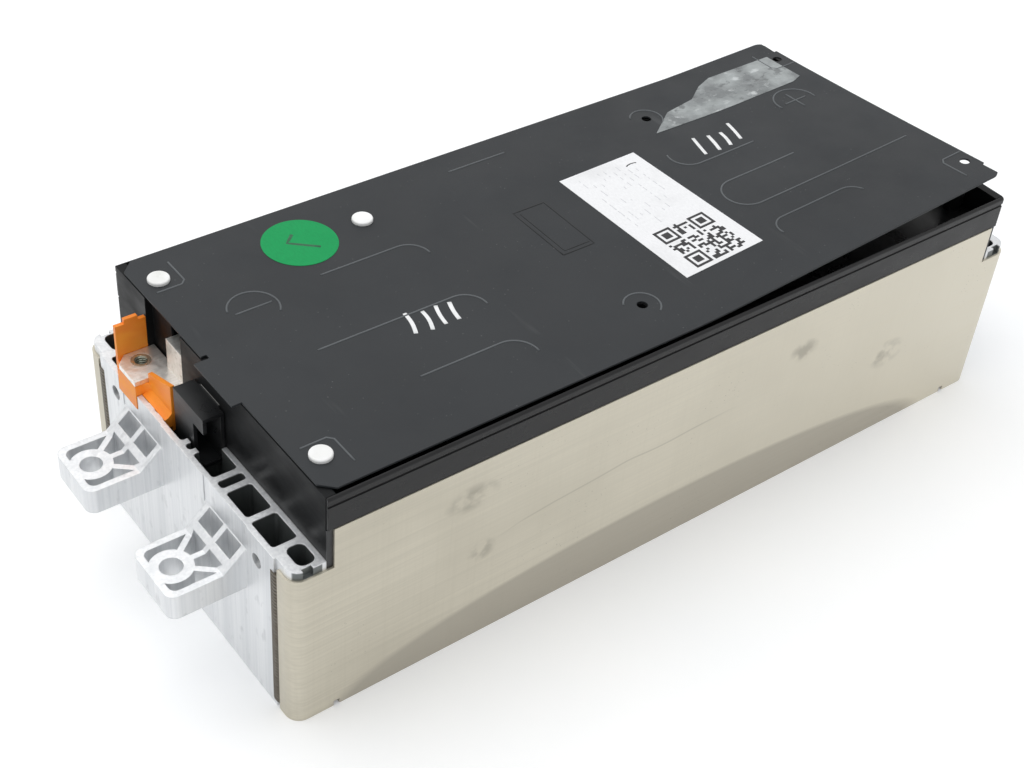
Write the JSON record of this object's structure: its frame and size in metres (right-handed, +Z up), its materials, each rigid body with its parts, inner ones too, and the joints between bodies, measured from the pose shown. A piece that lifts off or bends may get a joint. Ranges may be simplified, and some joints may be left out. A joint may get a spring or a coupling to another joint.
{
  "type": "ev battery module",
  "caption": "Flat box of prismatic cells between webbed aluminium end plates and folded steel sides, with bolt lugs and a warped black lid.",
  "frame": {"origin": "centre of the bottom face", "axes": "+X from the connector end to the other end along the length, +Y towards the side with the power terminals, +Z up"},
  "size_m": [0.4284, 0.151, 0.1193],
  "materials": {
    "foam_pad": "soft compression pad",
    "cell_can": "film-wrapped aluminium can",
    "bar_aluminium": "satin rolled bar",
    "extruded_aluminium": "mill-finish extrusion with draw lines",
    "steel_sheet": "rolled sheet with smudges and fine scratches",
    "weld_metal": "dark laser weld",
    "carrier_plastic": "semi-gloss black moulding",
    "insulator_plastic": "satin black moulding",
    "orange_plastic": "satin orange moulding",
    "nut_steel": "zinc-plated nut",
    "connector_plastic": "black housing",
    "flex_film": "polyimide film",
    "insulating_film": "thin insulating film",
    "lid_plastic": "fine-grained charcoal sheet",
    "white_plastic": "white moulded rivet",
    "label_paper": "white label stock",
    "green_paper": "green label stock",
    "tape_film": "torn grey tape"
  },
  "bodies": {
    "root": {"busbar_01": "bar_aluminium", "busbar_02": "bar_aluminium", "busbar_03": "bar_aluminium", "busbar_04": "bar_aluminium", "busbar_05": "bar_aluminium", "busbar_06": "bar_aluminium", "busbar_07": "bar_aluminium", "busbar_08": "bar_aluminium", "busbar_09": "bar_aluminium", "busbar_10": "bar_aluminium", "busbar_11": "bar_aluminium", "busbar_carrier": "carrier_plastic", "cell_01": "cell_can", "cell_02": "cell_can", "cell_03": "cell_can", "cell_04": "cell_can", "cell_05": "cell_can", "cell_06": "cell_can", "cell_07": "cell_can", "cell_08": "cell_can", "cell_09": "cell_can", "cell_10": "cell_can", "cell_11": "cell_can", "cell_12": "cell_can", "cell_pad_01": "foam_pad", "cell_pad_02": "foam_pad", "cell_pad_03": "foam_pad", "cell_pad_04": "foam_pad", "cell_pad_05": "foam_pad", "cell_pad_06": "foam_pad", "cell_pad_07": "foam_pad", "cell_pad_08": "foam_pad", "cell_pad_09": "foam_pad", "cell_pad_10": "foam_pad", "cell_pad_11": "foam_pad", "end_insulator_front": "insulator_plastic", "end_insulator_rear": "insulator_plastic", "end_plate_front": "extruded_aluminium", "end_plate_rear": "extruded_aluminium", "floor_film": "insulating_film", "label": "label_paper", "lid": "lid_plastic", "lid_rivets": "white_plastic", "output_bar_front": "bar_aluminium", "output_bar_rear": "bar_aluminium", "round_sticker": "green_paper", "sense_connector": "connector_plastic", "sense_flex": "flex_film", "side_film_left": "insulating_film", "side_film_right": "insulating_film", "side_plate_left": "steel_sheet", "side_plate_right": "steel_sheet", "tape_remnant": "tape_film", "terminal_nut_front": "nut_steel", "terminal_nut_rear": "nut_steel", "terminal_shroud_front": "orange_plastic", "terminal_shroud_rear": "orange_plastic", "weld_seams": "weld_metal"}
  },
  "joints": []
}
